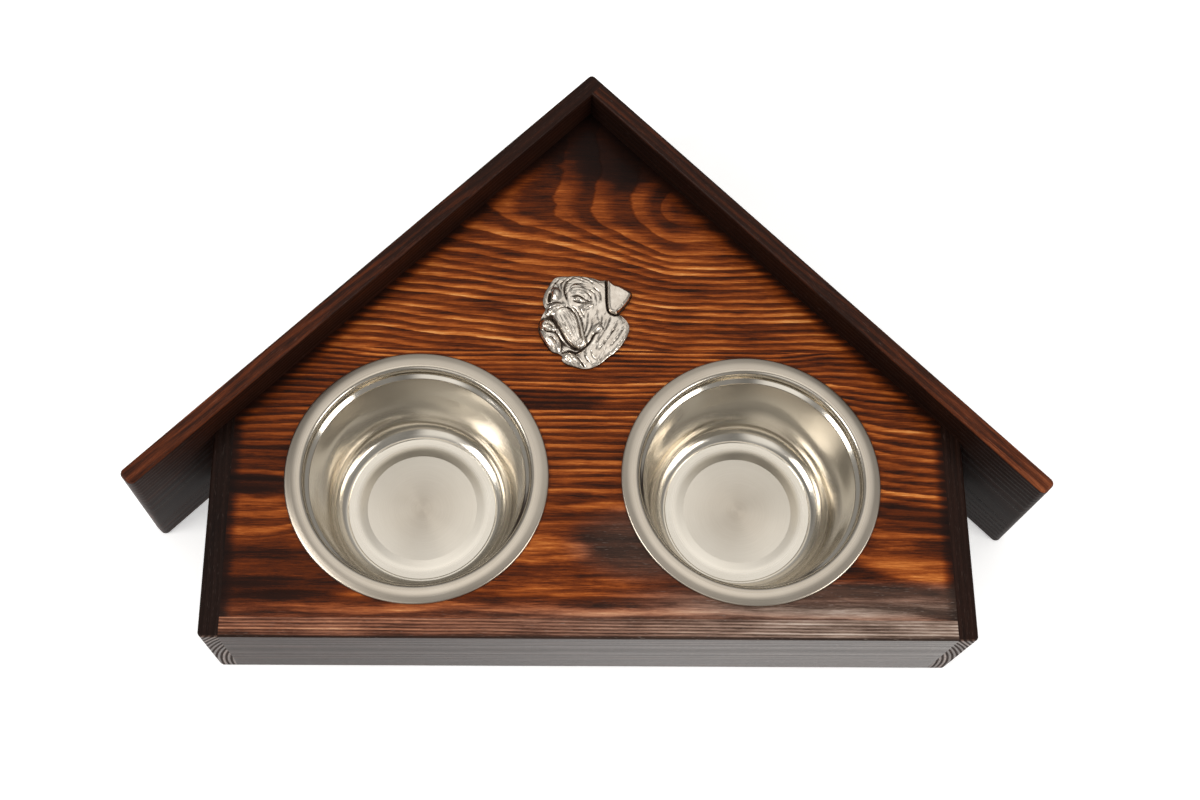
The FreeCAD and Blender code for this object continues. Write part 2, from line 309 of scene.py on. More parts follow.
def beside_boards(x, y):
    """The panel is darker beside the boards round it: 0 there and 1 on the open panel."""
    to_side = PANEL_HALF - maths("ABSOLUTE", x)
    to_roof = (INNER_RIDGE - y - maths("ABSOLUTE", x)) * math.sqrt(0.5)
    return 0.35 + 0.65 * rise(maths("MINIMUM", to_side, to_roof), 0, 8)


# Bright hearts of the front plank, where a ring is cut flat: middle, half size and fall to the right
FRONT_PLANK_HEARTS = [
    ("tongue between the bowls", (-34, 54), (34, 8.5), 0.0),
    ("right corner", (196, 47), (40, 12), 0.18),
    ("left corner", (-206, 72), (34, 12), -0.05),
]


def front_plank_rings(x, y, z):
    """Flat-sawn plank: rings far apart in front and at the ends, and close towards the glue line."""
    open_part = rise(maths("ABSOLUTE", y - 50), 6, 30)
    sway = (noise(x / 110, y / 50, z / 50, 1.0) - 0.5) * 1.4 * open_part
    waver = (noise(x / 38, y / 9, z / 9, 2.0) - 0.5) * (0.15 + 0.4 * open_part)
    lowered = y + 0.12 * maths("MAXIMUM", x - 150, 0)
    wider = 1 - (0.25 * rise(x, 105, 185) + 0.15 * rise(x, -105, -185)) * rise(y, 40, 110)
    across = (length(lowered - 50, x * 0 + 150) - 150) / 2.1 - 16
    count = across * wider + sway + waver + 36.1
    for name, middle, half_size, fall in FRONT_PLANK_HEARTS:
        level_y = y + (x - middle[0]) * fall + (noise(x / 20, y / 4, z / 4, 2.0) - 0.5) * 4
        count = count + 0.62 * patch(x, level_y, middle, half_size, 0.7)
    return count


# Stretches of the front plank: middle, half size, fall to the right and how much brighter or darker
FRONT_PLANK_PATCHES = [
    ("tongue between the bowls", (-34, 54), (36, 9), 0.0, 0.40),
    ("band above the tongue", (-14, 88), (30, 8), 0.03, 0.20),
    ("streak in front of the bowls", (-50, 34), (80, 5), 0.0, 0.12),
    ("right corner", (196, 47), (38, 12), 0.18, 0.22),
    ("left corner", (-206, 72), (36, 13), 0.0, 0.30),
    ("left front", (-206, 42), (30, 5), 0.0, 0.14),
    ("char behind the left bowl", (-30, 150), (38, 7), 0.0, -0.42),
    ("char in the middle", (34, 62), (44, 14), 0.0, -0.40),
    ("char beside the left bowl", (-206, 94), (30, 6), 0.0, -0.45),
    ("char at the left front", (-190, 29), (50, 7), 0.0, -0.45),
    ("char beside the right bowl", (200, 76), (36, 8), 0.1, -0.40),
    ("char under the right bowl", (120, 30), (95, 5), 0.02, -0.45),
]


def front_plank_light(x, y, z):
    """Orange and charred stretches of the front plank, with slightly ragged edges along the grain, and
    painted sheen in front.
    """
    ragged_x = x + (noise(x / 30, y / 2, z / 2, 3.0) - 0.5) * 16
    ragged_y = y + (noise(x / 45, y / 14, z / 14, 2.0) - 0.5) * 3
    total = 0.98 + x * 0
    for name, middle, half_size, fall, change in FRONT_PLANK_PATCHES:
        level_y = ragged_y + (ragged_x - middle[0]) * fall
        total = total + change * patch(ragged_x, level_y, middle, half_size, 0.5)
    # Brighter towards the front edge: a painted sheen of the lacquer
    total = total - 0.22 * rise(x, -150, -190) + 0.16 * rise(y, 48, 22)
    return total * beside_boards(x, y)


def front_plank_painted_sheen(x, y, z):
    """Painted sheen: the plank is greyer towards its front edge, in the middle and at its right end."""
    middle = patch(x, y, (40, 58), (44, 20), 0.9)
    right = patch(x, y, (150, 24), (110, 10), 0.9)
    front = (0.15 + 0.35 * rise(x, -150, 60)) * rise(y, 26, 12)
    return front + 0.55 * middle + 0.7 * right


def levelling(field, limit, scale):
    """Rises with the field at first and then levels out towards the limit."""
    return (1 - maths("POWER", math.e, field / -scale)) * limit


# Knot of the rear plank
KNOT_X = 58
KNOT_Y = 285


def rear_plank_rings(x, y, z):
    """Rings round a knot beside the right roof board, upright to its left and level in front of it.

    Near the knot they are far apart, and away from it they come closer.
    """
    to_left = maths("MAXIMUM", KNOT_X - x, 0)
    to_right = maths("MAXIMUM", x - KNOT_X, 0)
    above = maths("MAXIMUM", y - KNOT_Y, 0)
    below = maths("MAXIMUM", KNOT_Y - y, 0)
    sideways = levelling(to_left, 42, 36) + to_left * 0.015 + to_right / 5
    upwards = levelling(above, 18, 13) * (1 - 0.55 * rise(to_left, 8, 40))
    reach = length(sideways, upwards + below)
    tilt = maths("MAXIMUM", -45 - x, 0) * 0.08
    sway = (noise(x / 42, y / 24, z / 24, 2.0) - 0.5) * 5
    spread = reach + tilt + sway
    return spread / 4.7 - maths("SMOOTH_MIN", spread * 0.131, 4.35, 0.6) + 20


def rear_plank_light(x, y, z):
    """The plank is charred towards the ridge."""
    scorch = noise(x / 30, y / 12, z / 12, 2.0)
    ragged_y = y + (scorch - 0.5) * 24
    char = patch(x, ragged_y, (18, 330), (46, 32), 1.0)
    total = 1.24 - 0.3 * scorch - 0.16 * rise(y, 245, 285) - 0.70 * char
    return total * beside_boards(x, y)


def board_rings(grain, spacing, heart_across, heart_height, climb, sway_size=8):
    """Rings of a sawn board about a heart line that runs along the grain."""
    cosine = math.cos(math.radians(grain))
    sine = math.sin(math.radians(grain))

    def rings(x, y, z):
        along = x * cosine + y * sine
        across = y * cosine - x * sine
        sway = (noise(along / 90, across / 40, z / 40, 1.0) - 0.5) * sway_size
        return length(across - heart_across, z - heart_height - along * climb + sway) / spacing
    return rings


def roof_light(top, faces, start):
    """Brightness of a roof board's faces and of its top edge, which is worn from start to its end."""
    def light(x, y, z):
        bare = top * (0.75 + 0.65 * rise(maths("ABSOLUTE", x), start, 270))
        return faces + (bare - faces) * rise(z, ROOF_TOP - 2.5, ROOF_TOP - 1.0)
    return light


def front_board_light(x, y, z):
    """The front board is charred on its face and along its rounded edge, and open on top."""
    open_top = rise(z, PANEL_TOP - 1.0, PANEL_TOP - 0.3) * rise(y, 0.6, 2.2)
    return 0.3 + (0.72 + 0.35 * rise(x, 20, 180)) * open_top


def front_board_painted_sheen(x, y, z):
    """Painted sheen: the top of the front board is greyer to the right."""
    return 0.4 + 0.55 * rise(x, -120, 150)


def front_gloss(x, y, z):
    """Lacquer on the front faces, thicker to the right, and little of it on top."""
    below_edge = rise(z, PANEL_TOP - 0.3, PANEL_TOP - 1.5)
    return THIN_LACQUER + (0.12 + 0.38 * rise(x, -230, 90)) * below_edge


def end_grain(y):
    """1 on the front ends of the side boards and 0 behind them."""
    return rise(y, 1.2, 0.4)


def end_gloss(x, y, z):
    """Thin lacquer on the side boards, a little thicker on the end grain."""
    return THIN_LACQUER + 0.32 * end_grain(y)


def side_light(top):
    """Brightness of a side board's dark top and faces, and of the end grain in front."""
    def light(x, y, z):
        return top + (0.4 - top) * end_grain(y)
    return light


def end_grain_painted_sheen(x, y, z):
    """Painted sheen: the end grain is grey."""
    return 0.15 + 0.75 * end_grain(y)


def end_figure(x, y, z):
    """The year rings show on the end grain, and hardly elsewhere."""
    return 0.2 + 0.8 * end_grain(y)


def even(value):
    """The same value all over a board."""
    def field(x, y, z):
        return value + x * 0
    return field


def beech():
    """Plain beech of the hidden dowels, with short dark flecks."""
    material, shader, (x, y, z) = new_material("beech")
    fleck = noise(x / 0.7, y / 0.7, z / 0.7, 2.0)
    band = noise(x / 5, y / 5, z / 5, 2.0)
    tone = fleck * 0.5 + band * 0.5
    stops = [(0.3, srgb(150, 104, 66)), (0.5, srgb(196, 152, 106)), (0.7, srgb(214, 176, 132))]
    connect(x.tree, ramp(tone, stops), shader.inputs["Base Color"])
    connect(x.tree, 0.5 + 0.2 * fleck, shader.inputs["Roughness"])
    bump(shader, fleck, 0.05)
    return material


def rubber():
    """Dark soft rubber of the pads, with a fine moulded texture."""
    material, shader, (x, y, z) = new_material("pad_rubber")
    speck = noise(x / 0.4, y / 0.4, z / 0.4, 2.0)
    wear_and_sheen = noise(x / 6, y / 6, z / 6, 2.0)
    stops = [(0.3, srgb(24, 24, 25)), (0.7, srgb(52, 51, 50))]
    connect(x.tree, ramp(speck * 0.4 + wear_and_sheen * 0.6, stops), shader.inputs["Base Color"])
    connect(x.tree, 0.6 + 0.25 * speck, shader.inputs["Roughness"])
    bump(shader, speck, 0.06)
    return material


def dress(node, material):
    """Gives a CAD node one material in all its slots."""
    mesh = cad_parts[node].data
    if not mesh.materials:
        mesh.materials.append(material)
    for index in range(len(mesh.materials)):
        mesh.materials[index] = material


def dress_boards():
    """Pine for the boards and planks, and the plain finishes of what is hidden."""
    dress("panel_front_plank",
          pine("front_plank_pine", front_plank_rings, 0, front_plank_light, front_plank_painted_sheen))
    dress("panel_rear_plank",
          pine("rear_plank_pine", rear_plank_rings, 0, rear_plank_light, year=DULL_STOPS, ragged=0.6))
    front_rings = board_rings(0, 1.7, 60, 50, 0.01, 3)
    dress("front_board",
          pine("front_board_pine", front_rings, 0, front_board_light, front_board_painted_sheen, 0.4, front_gloss))
    for side, heart, top in (("left", 112, 0.13), ("right", -112, 0.22)):
        rings = board_rings(90, 3.0, heart, 6, 0.02, 5)
        light = side_light(top)
        dress(side + "_side_board",
              pine(side + "_side_pine", rings, 90, light, end_grain_painted_sheen, end_figure, end_gloss, END_STOPS, 0.35))
    # The even grey given to both roof boards below is a painted sheen of the lacquer
    left_roof = board_rings(45, 3.0, 300, 40, 0.03)
    light = roof_light(0.5, 0.34, 60)
    dress("left_roof_board", pine("left_roof_pine", left_roof, 45, light, even(0.12), 0.3))
    right_roof = board_rings(-45, 3.0, 300, 52, -0.02)
    light = roof_light(0.6, 0.18, 160)
    dress("right_roof_board", pine("right_roof_pine", right_roof, -45, light, even(0.15), 0.3))
    dress("anti_slip_pads", rubber())
    wood = beech()
    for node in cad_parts:
        if node.endswith("dowels"):
            dress(node, wood)


def build_piece(name, points, faces, smooth=True):
    """Mesh object from points in metres and faces."""
    mesh = bpy.data.meshes.new(name)
    mesh.from_pydata([tuple(point) for point in points], [], [tuple(face) for face in faces])
    mesh.validate()
    mesh.update()
    if smooth:
        mesh.shade_smooth()
    piece = bpy.data.objects.new(name, mesh)
    bpy.context.scene.collection.objects.link(piece)
    return piece


def attach_values(piece, name, values):
    """Stores one number per point of a piece, for its material."""
    attribute = piece.data.attributes.new(name, "FLOAT", "POINT")
    attribute.data.foreach_set("value", np.asarray(values, np.float32))


def stored(tree, name):
    """Field of numbers stored on the points of a piece."""
    node = tree.nodes.new("ShaderNodeAttribute")
    node.attribute_name = name
    return Field(tree, node.outputs["Fac"])


# Bowl, in millimetres: radius, height above the panel, bend radius and roughness of the metal from there
SHEET = 0.8
BOWL_PROFILE = [
    (0.0, -65.6, 0.0, 0.34),
    (35.0, -65.6, 0.5, 0.30),
    (41.4, -66.6, 24.0, 0.28),
    (46.9, -66.3, 0.3, 0.24),
    (47.5, -65.8, 0.3, 0.20),
    (48.2, -66.0, 0.4, 0.18),
    (56.7, -62.6, 16.0, 0.16),
    (65.6, -6.4, 1.2, 0.12),
    (68.4, -4.2, 1.2, 0.12),
    (68.4, 3.0, 3.0, 0.20),
    (74.0, 3.2, 30.0, 0.30),
    (80.0, 1.4, 1.5, 0.30),
    (80.0, 0.0, 0.0, 0.30),
]
BOWL_SEGMENTS = 180
ARC_STEPS = 9
RUN_STEP = 1.6
# Height over which the waves of the wall turn by one radian
WAVE_PITCH = 11


def rounded_profile(points, bends):
    """Points of an open profile whose corners are arcs, and the corner each one belongs to."""
    placed = [np.array(point, float) for point in points]
    result = [(placed[0], 0.0)]
    taken = 0.0
    for i in range(1, len(placed) - 1):
        before = placed[i - 1] - placed[i]
        after = placed[i + 1] - placed[i]
        reach = 0.98 * min(np.linalg.norm(before) - taken, np.linalg.norm(after))
        before = before / np.linalg.norm(before)
        after = after / np.linalg.norm(after)
        half_turn = math.acos(np.clip(before @ after, -1, 1)) / 2
        radius = min(bends[i], reach * math.tan(half_turn))
        back = radius / math.tan(half_turn)
        taken = back
        middle = before + after
        centre = placed[i] + middle / np.linalg.norm(middle) * radius / math.sin(half_turn)
        start = placed[i] + before * back - centre
        end = placed[i] + after * back - centre
        sweep = math.acos(np.clip(start @ end / radius ** 2, -1, 1))
        for step in range(ARC_STEPS + 1):
            share = step / ARC_STEPS
            turned = math.sin((1 - share) * sweep) * start + math.sin(share * sweep) * end
            result.append((centre + turned / math.sin(sweep), i - 0.5 + share))
    result.append((placed[-1], len(placed) - 1.0))
    return result


def filled_profile(corners):
    """The same profile with extra points on its long straight runs."""
    result = [corners[0]]
    for (start, from_place), (end, to_place) in zip(corners, corners[1:]):
        steps = max(1, math.ceil(np.linalg.norm(end - start) / RUN_STEP))
        for step in range(1, steps + 1):
            share = step / steps
            result.append((start + (end - start) * share, from_place + (to_place - from_place) * share))
    return result


def steel_bowl(name, node, dents):
    """Pressed bowl with the profile of its CAD node, whose wall has the slight waves of thin sheet."""
    low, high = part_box(node)
    centre = np.array([(low.x + high.x) / 2, (low.y + high.y) / 2, PANEL_TOP * MM])
    corners = rounded_profile([row[:2] for row in BOWL_PROFILE], [row[2] for row in BOWL_PROFILE])
    profile = filled_profile(corners)
    upper = np.array([point for point, place in profile])
    places = np.array([place for point, place in profile])
    finish = np.interp(places, range(len(BOWL_PROFILE)), [row[3] for row in BOWL_PROFILE])
    along = np.gradient(upper, axis=0)
    along /= np.linalg.norm(along, axis=1)[:, None]
    under = upper + np.stack([along[:, 1], -along[:, 0]], 1) * SHEET
    under[0] = (0, upper[0][1] - SHEET)
    under[-1] = (upper[-1][0] - SHEET, upper[-1][1])
    loop = np.concatenate([upper, under[::-1]])
    values = np.concatenate([finish, finish[::-1] + 0.1])
    angles = np.linspace(0, 2 * math.pi, BOWL_SEGMENTS, endpoint=False)
    points = [(0, 0, loop[0][1])]
    rough = [values[0]]
    inner = loop[1:-1]
    for radius, height in inner:
        deep = np.clip((-height - 8) / 20, 0, 1) * np.clip((height + 60) / 8, 0, 1)
        wave = sum(size * np.sin(count * angles + height / WAVE_PITCH * twist + start)
                   for size, count, twist, start in dents)
        moved = radius + deep * wave
        points += list(zip(moved * np.cos(angles), moved * np.sin(angles), np.full(BOWL_SEGMENTS, height)))
    for value in values[1:-1]:
        rough += [value] * BOWL_SEGMENTS
    points.append((0, 0, loop[-1][1]))
    rough.append(values[-1])
    faces = []
    rows = len(inner)
    for row in range(rows - 1):
        for i in range(BOWL_SEGMENTS):
            j = (i + 1) % BOWL_SEGMENTS
            first = 1 + row * BOWL_SEGMENTS
            second = first + BOWL_SEGMENTS
            faces.append((first + i, first + j, second + j, second + i))
    last = 1 + (rows - 1) * BOWL_SEGMENTS
    for i in range(BOWL_SEGMENTS):
        j = (i + 1) % BOWL_SEGMENTS
        faces.append((0, 1 + j, 1 + i))
        faces.append((last + i, last + j, len(points) - 1))
    piece = build_piece(name, np.array(points) * MM + centre, [face[::-1] for face in faces])
    attach_values(piece, "finish", rough)
    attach(piece, node)
    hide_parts(node)
    return piece, centre


def steel(name, centre):
    """Stainless steel, spun bright inside and brushed satin on the flange and the floor, darker in the
    floor's middle as a painted reflection.
    """
    material, shader, (x, y, z) = new_material(name)
    dx = x - centre[0] / MM
    dy = y - (centre[1] / MM - FRONT)
    radius = length(dx, dy)
    angle = maths("ARCTAN2", dy, dx)
    lathe = noise(radius / 0.3, angle * 1.2, z / 0.3, 2.0)
    haze = noise(dx / 25, dy / 25, z / 25, 2.0)
    finish = stored(x.tree, "finish")
    tint = ramp(haze * 0.5 + lathe * 0.5, [(0.3, srgb(204, 197, 185)), (0.7, srgb(214, 208, 197))])
    satin = ramp(haze * 0.5 + lathe * 0.5, [(0.3, srgb(176, 166, 152)), (0.7, srgb(190, 181, 168))])
    flange = rise(radius, 68, 71)
    # Satin on the floor; the extra darkening within 9 mm of the middle is a painted reflection of the
    # brushed floor
    floor = 0.15 * rise(radius, 37, 34) + 0.65 * rise(radius, 37, 6) + 0.15 * rise(radius, 9, 5)
    tint = mixed(tint, satin, flange + floor)
    connect(x.tree, tint, shader.inputs["Base Color"])
    connect(x.tree, finish + (lathe - 0.5) * 0.08 + (haze - 0.5) * 0.03, shader.inputs["Roughness"])
    shader.inputs["Metallic"].default_value = 1.0
    connect(x.tree, 0.35 + 0.45 * rise(radius, 46, 34), shader.inputs["Anisotropic"])
    tangent = x.tree.nodes.new("ShaderNodeTangent")
    tangent.direction_type = "RADIAL"
    tangent.axis = "Z"
    x.tree.links.new(tangent.outputs["Tangent"], shader.inputs["Tangent"])
    bump(shader, lathe, 0.002)
    return material


def add_bowls():
    """The two bowls, each with its own slight waves."""
    dents = {
        "left_bowl": [(0.40, 2, 0.5, 0.4), (0.30, 3, -1.0, 1.9), (0.10, 7, 1.6, 2.6)],
        "right_bowl": [(0.36, 2, -0.6, 2.2), (0.28, 4, 0.9, 0.3), (0.10, 6, -1.5, 1.1)],
    }
    for node, waves in dents.items():
        piece, centre = steel_bowl(node + "_pressed", node, waves)
        piece.data.materials.append(steel(node + "_steel", centre))


# Relief of a dog's head, in millimetres from its middle: u to the right, v towards the ridge
HEAD_OUTLINE = [
    (-10.5, 31.3), (-19.0, 30.0), (-23.0, 25.0), (-26.0, 19.5), (-27.2, 14.0), (-26.5, 10.5),
    (-25.6, 8.0), (-27.2, 4.0), (-29.4, -1.0), (-30.0, -5.5), (-28.6, -10.5), (-25.4, -16.0),
    (-21.4, -20.8), (-17.2, -22.0), (-15.0, -23.8), (-15.0, -26.6), (-12.4, -29.0), (-7.4, -30.8),
    (-1.0, -32.0), (4.0, -31.2), (9.0, -28.4), (13.2, -24.6), (18.6, -20.4), (23.6, -14.0),
    (26.6, -8.0), (27.4, -3.4), (25.6, 0.8), (22.6, 4.0), (21.2, 5.6), (23.6, 8.8), (27.4, 14.0),
    (29.4, 18.8), (28.0, 21.6), (22.2, 24.9), (18.4, 26.2), (14.6, 29.3), (11.6, 28.8), (8.0, 29.0),
    (4.0, 30.4), (-3.0, 31.5),
]
EAR_OUTLINE = [
    (13.1, 29.4), (14.8, 29.0), (18.5, 26.0), (22.2, 24.8), (27.9, 21.4), (29.2, 18.8), (27.2, 14.0),
    (23.3, 8.6), (19.4, 4.6), (15.6, 5.2), (13.9, 8.0), (13.2, 15.0), (13.2, 23.0),
]
# Swellings: middle u and v, half length, half breadth, turn in degrees, height and fullness
HEAD_SWELLINGS = [
    ("skull", -3.0, 15.0, 27.0, 18.5, 0.0, 4.4, 0.6),
    ("cheek", 6.0, -2.0, 17.0, 22.0, 20.0, 4.4, 0.6),
    ("neck", 14.0, -12.0, 17.0, 19.0, 40.0, 3.4, 0.5),
    ("throat", 4.0, -22.0, 9.0, 10.0, 0.0, 3.4, 0.6),
    ("near lip", -10.5, -4.6, 15.5, 9.4, -62.0, 5.9, 0.36),
    ("bridge", -17.0, 8.0, 9.0, 5.4, 15.0, 5.6, 0.7),
    ("nose", -24.0, -4.2, 6.4, 4.8, -30.0, 7.0, 0.6),
    ("far lip", -22.4, -13.0, 10.0, 5.8, -60.0, 5.4, 0.6),
    ("chin", -8.5, -26.4, 8.0, 4.2, -28.0, 4.6, 0.6),
    ("near brow", -5.0, 20.8, 9.0, 5.0, -8.0, 5.7, 0.8),
    ("far brow", -18.6, 18.0, 4.4, 6.0, 20.0, 5.6, 0.8),
    ("near eye", -4.9, 14.5, 3.4, 2.1, -14.0, 6.0, 0.6),
    ("cheekbone", 0.5, 9.4, 7.0, 3.6, 25.0, 5.5, 0.8),
    ("jaw", 7.0, -4.6, 6.0, 3.0, 48.0, 5.6, 0.8),
    ("corner of the mouth", -1.6, -13.5, 2.6, 6.0, 14.0, 5.3, 0.8),
]
# Creases, below zero, and ridges: height, half width and the points of each line
HEAD_LINES = [
    (-0.9, 0.6, [(-8.5, 30.6), (-12.0, 27.0), (-13.8, 22.0), (-12.9, 17.0), (-11.8, 13.4)]),
    (-0.7, 0.5, [(-12.5, 29.6), (-15.8, 25.5), (-15.2, 21.4)]),
    (-0.5, 0.5, [(-17.5, 29.0), (-19.5, 26.0), (-21.8, 23.4)]),
    (-0.5, 0.4, [(-11.3, 20.5), (-9.0, 24.3), (-5.0, 25.8), (-0.8, 25.6)]),
    (-0.5, 0.4, [(-10.4, 21.0), (-8.0, 22.9), (-3.0, 23.1)]),
    (-0.6, 0.4, [(-9.6, 18.6), (-5.0, 20.2), (0.0, 19.2), (2.6, 16.8), (3.6, 14.2)]),
    (-0.4, 0.5, [(-2.0, 30.4), (2.0, 28.4), (4.6, 25.6)]),
    (-0.4, 0.5, [(-7.0, 30.0), (-3.5, 28.8), (-1.0, 26.8)]),
    (-0.9, 0.35, [(-9.5, 16.2), (-6.0, 16.8), (-3.0, 15.9), (0.0, 13.9), (4.0, 13.2)]),
    (-0.7, 0.35, [(-8.4, 13.6), (-5.0, 12.2), (-1.5, 12.0), (0.8, 13.2)]),
    (-0.8, 0.5, [(-5.6, 14.9), (-4.2, 14.4)]),
    (-1.6, 1.0, [(-22.2, 19.4), (-23.0, 15.5), (-23.2, 12.4)]),
    (-0.7, 0.5, [(-26.0, 10.6), (-20.5, 12.4), (-15.4, 11.6)]),
    (-0.6, 0.4, [(-24.0, 7.8), (-19.0, 9.6), (-15.6, 9.4)]),
    (-0.9, 0.6, [(-22.0, 4.2), (-16.5, 8.0), (-12.0, 8.8), (-8.2, 6.0), (-5.8, 1.0), (-4.4, -5.0),
                 (-3.4, -11.0), (-1.6, -15.8)]),
    (-0.6, 0.45, [(-9.4, 10.4), (-5.5, 6.0), (-3.0, 0.0), (-1.7, -6.0), (-0.5, -11.6)]),
    (-0.5, 0.4, [(1.4, 5.4), (0.8, 0.0), (0.2, -5.0), (-1.0, -9.4)]),
    (-0.5, 0.4, [(3.9, 2.6), (3.4, -4.0), (1.4, -9.0), (-0.2, -12.0)]),
    (-0.4, 0.4, [(7.6, 8.6), (7.0, 3.0), (8.4, -0.6)]),
    (-1.9, 0.9, [(-22.4, 3.2), (-19.0, -1.6), (-16.2, -7.0), (-13.8, -12.0), (-10.6, -16.2), (-7.0, -18.7),
                 (-4.5, -19.0)]),
    (-0.7, 0.45, [(-27.6, -1.8), (-24.0, 0.4), (-21.0, -0.9), (-19.0, -4.2), (-17.6, -7.4)]),
    (-1.7, 0.8, [(-25.4, -3.0), (-22.8, -3.8), (-20.8, -5.6)]),
    (-0.9, 0.5, [(-27.4, -6.0), (-24.5, -8.0), (-20.6, -8.4)]),
    (-1.2, 1.1, [(-23.5, -10.8), (-20.5, -12.8), (-18.2, -16.2)]),
    (-0.5, 0.4, [(-24.6, -13.6), (-21.8, -16.4), (-20.2, -19.4)]),
    (-1.3, 0.7, [(-15.6, -22.6), (-10.5, -20.4), (-6.0, -21.2), (-2.5, -19.4), (1.2, -16.0), (3.4, -12.8),
                 (5.4, -9.2), (8.6, -8.2)]),
    (-1.2, 0.7, [(-6.4, -24.0), (-3.6, -27.2), (-1.2, -30.8)]),
    (-0.7, 0.5, [(-12.8, -24.6), (-10.2, -27.6)]),
    (-0.7, 0.5, [(-9.8, -24.0), (-7.0, -28.2)]),
    (-0.6, 0.6, [(-0.8, -19.8), (-0.6, -24.0), (2.2, -28.4)]),
    (-0.6, 0.5, [(15.8, 2.4), (13.6, -3.0), (9.6, -10.0), (5.5, -16.4)]),
    (0.5, 0.6, [(14.3, 28.2), (14.4, 20.0), (14.4, 12.0), (15.4, 6.8), (19.0, 5.8)]),
    (0.4, 0.5, [(19.0, 5.8), (23.2, 10.0), (27.0, 15.2), (28.4, 18.8)]),
    (0.7, 0.7, [(-21.2, 1.4), (-17.4, -3.8), (-14.2, -8.8), (-11.2, -13.4), (-7.8, -16.6), (-4.8, -17.4)]),
    (0.5, 0.6, [(-28.4, -2.4), (-28.8, -7.0), (-26.2, -13.0), (-21.8, -19.2)]),
    (0.4, 0.5, [(-9.8, 16.9), (-6.0, 17.7), (-2.6, 16.8), (0.6, 14.8)]),
    (-0.45, 0.35, [(-17.0, 3.0), (-14.4, -2.4), (-12.0, -7.4), (-9.4, -12.0)]),
    (-0.45, 0.35, [(-14.8, 4.6), (-12.0, -0.8), (-9.6, -6.0), (-7.4, -11.4)]),
    (-0.40, 0.35, [(-12.0, 5.6), (-9.6, 0.6), (-7.6, -4.6), (-6.0, -9.8)]),
    (-0.35, 0.30, [(-9.8, 5.0), (-7.8, 0.8), (-6.2, -4.0)]),
    (-0.35, 0.30, [(-15.6, -1.6), (-13.4, -6.0), (-11.4, -10.0)]),
    (-0.5, 0.4, [(-20.5, 27.6), (-17.8, 24.4), (-17.4, 21.4)]),
    (-0.5, 0.4, [(1.6, 21.8), (5.4, 18.6), (6.4, 13.8)]),
    (-0.5, 0.4, [(4.6, 23.6), (8.6, 19.4), (9.4, 13.0)]),
    (-0.45, 0.4, [(-1.6, 10.0), (2.0, 8.6), (4.8, 10.4)]),
    (-0.45, 0.4, [(-4.8, 9.6), (-2.6, 5.0), (-1.0, 1.6)]),
    (-0.5, 0.4, [(10.4, 4.0), (9.8, -2.0), (11.4, -6.6)]),
    (-0.5, 0.4, [(13.0, 0.6), (11.0, -5.4), (7.2, -12.4)]),
    (-0.5, 0.45, [(20.6, 0.6), (17.4, -6.0), (12.6, -13.4), (7.6, -20.2)]),
    (-0.5, 0.45, [(24.2, -3.6), (20.2, -10.6), (14.6, -18.0)]),
    (-0.5, 0.4, [(2.6, -19.4), (4.4, -24.6), (8.0, -27.0)]),
]
# Middle of the relief: across from the middle of the stand and back from the glue line
EMBLEM_X = -3.5
EMBLEM_GAP = 18.5
# Its mesh, the grid on which its height is worked out, its edge and the breadth of the edge's rounding
HEAD_MIDDLE = (-1.0, 0.0)
HEAD_RAYS = 540
HEAD_RINGS = 120
HEAD_STEP = 0.25
HEAD_EDGE = 2.0
HEAD_ROUNDING = 2.4
# How sharply its swellings meet, its engraved hairs and the lumps of its casting
SWELLING_SHARPNESS = 2.2
SWELLING_FOOT = 1.6
HAIR_COUNT = 420
HAIR_LENGTH = 3.4
HAIR_HALF_WIDTH = 0.28
CAST_ROUGHNESS = 0.05


def smooth_line(points, closed, steps=8):
    """Points along a smooth curve through the given ones."""
    placed = np.array(points, float)
    count = len(placed)
    if closed:
        around = [placed[(i - 1) % count] for i in range(count + 3)]
    else:
        around = [2 * placed[0] - placed[1], *placed, 2 * placed[-1] - placed[-2]]
    result = []
    for a, b, c, d in zip(around, around[1:], around[2:], around[3:]):
        for t in np.arange(steps) / steps:
            straight = 2 * b + (c - a) * t
            bent = (2 * a - 5 * b + 4 * c - d) * t ** 2 + (3 * b - a - 3 * c + d) * t ** 3
            result.append((straight + bent) / 2)
    if not closed:
        result.append(placed[-1])
    return np.array(result)


def distance_to(u, v, line):
    """Distance of each grid point from a line, and how far along the line it is, from 0 to 1."""
    best = np.full(u.shape, 1e9)
    share = np.zeros(u.shape)
    for i, (start, end) in enumerate(zip(line, line[1:])):
        run = end - start
        t = np.clip(((u - start[0]) * run[0] + (v - start[1]) * run[1]) / max(run @ run, 1e-9), 0, 1)
        gap = np.hypot(u - start[0] - t * run[0], v - start[1] - t * run[1])
        nearer = gap < best
        best[nearer] = gap[nearer]
        share[nearer] = ((i + t) / (len(line) - 1))[nearer]
    return best, share


def depth_inside(u, v, outline):
    """Distance of each grid point from a closed outline, below zero outside it."""
    closed = np.concatenate([outline, outline[:1]])
    gap, share = distance_to(u, v, closed)
    inside = np.zeros(u.shape, bool)
    for (au, av), (bu, bv) in zip(closed, closed[1:]):
        if av != bv:
            crosses = (av > v) != (bv > v)
            inside ^= crosses & (u < au + (v - av) * (bu - au) / (bv - av))
    return np.where(inside, gap, -gap)


def eased(value):
    """Smooth step of numbers from 0 to 1."""
    t = np.clip(value, 0, 1)
    return t * t * (3 - 2 * t)


